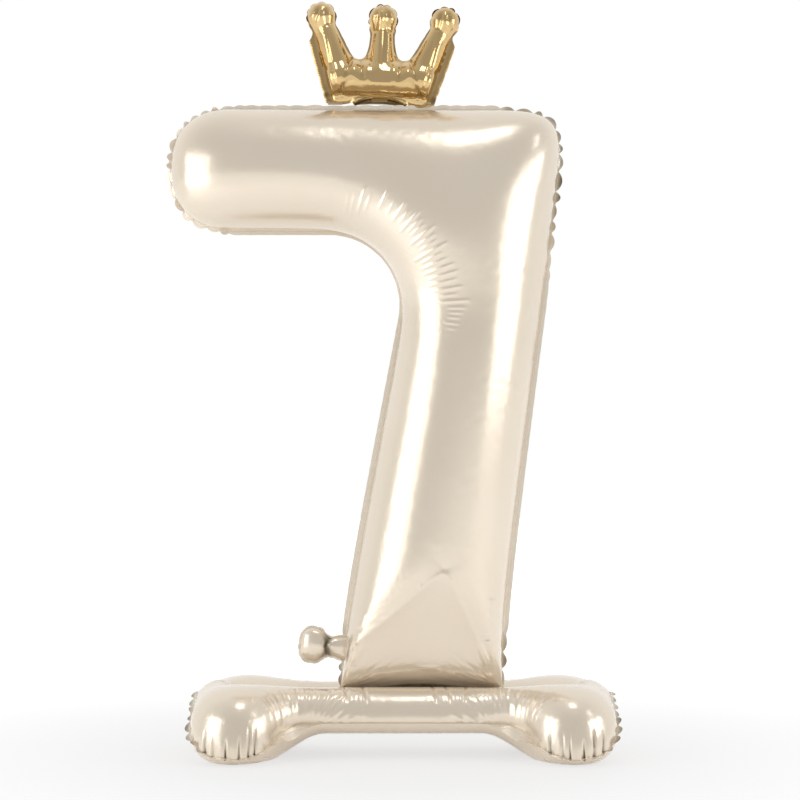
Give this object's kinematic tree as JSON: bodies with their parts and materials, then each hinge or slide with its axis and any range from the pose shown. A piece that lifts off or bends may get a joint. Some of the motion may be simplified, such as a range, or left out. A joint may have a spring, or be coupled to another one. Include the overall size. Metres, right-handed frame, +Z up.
{
  "type": "foil number balloon",
  "caption": "Self-standing inflated foil number in pearl ivory with a gold foil crown on its top edge and a footed foil base, filled with air through a straw inlet in its tail.",
  "frame": {"origin": "on the floor under the middle of the whole outline", "axes": "+Z up, +X to the right seen from the front, the front faces -Y"},
  "size_m": [0.505, 0.2356, 0.8458],
  "materials": {
    "ivory_foil": "pearl satin metallised film",
    "gold_foil": "mirror metallised film",
    "valve_film": "clear film",
    "clear_glue": "clear, soft"
  },
  "bodies": {
    "base": {"base_top_foil": "ivory_foil", "base_bottom_foil": "ivory_foil", "base_valve_upper_film": "valve_film", "base_valve_lower_film": "valve_film", "number_tacks": "clear_glue"},
    "number": {"number_front_foil": "ivory_foil", "number_back_foil": "ivory_foil", "number_valve_front_film": "valve_film", "number_valve_back_film": "valve_film", "crown_tacks": "clear_glue"},
    "tail": {"tail_front_foil": "ivory_foil", "tail_back_foil": "ivory_foil", "tail_inlet_sleeve": "valve_film"},
    "crown": {"crown_front_foil": "gold_foil", "crown_back_foil": "gold_foil", "crown_valve_front_film": "valve_film", "crown_valve_back_film": "valve_film"}
  },
  "joints": [
    {"name": "number_rock", "type": "hinge", "parent": "base", "child": "number", "pos_m": [0.0355, 0, 0.0601], "axis": [1, 0, 0], "range_deg": [-5, 5], "stiffness_Nm_per_rad": 0.6},
    {"name": "tail_fold", "type": "hinge", "parent": "number", "child": "tail", "pos_m": [-0.05638, 0, 0.11685], "axis": [0.1114, 0, 0.9938], "range_deg": [-60, 60], "stiffness_Nm_per_rad": 0.002},
    {"name": "crown_nod", "type": "hinge", "parent": "number", "child": "crown", "pos_m": [-0.0115, 0, 0.7286], "axis": [1, 0, 0], "range_deg": [-15, 15], "stiffness_Nm_per_rad": 0.01}
  ]
}
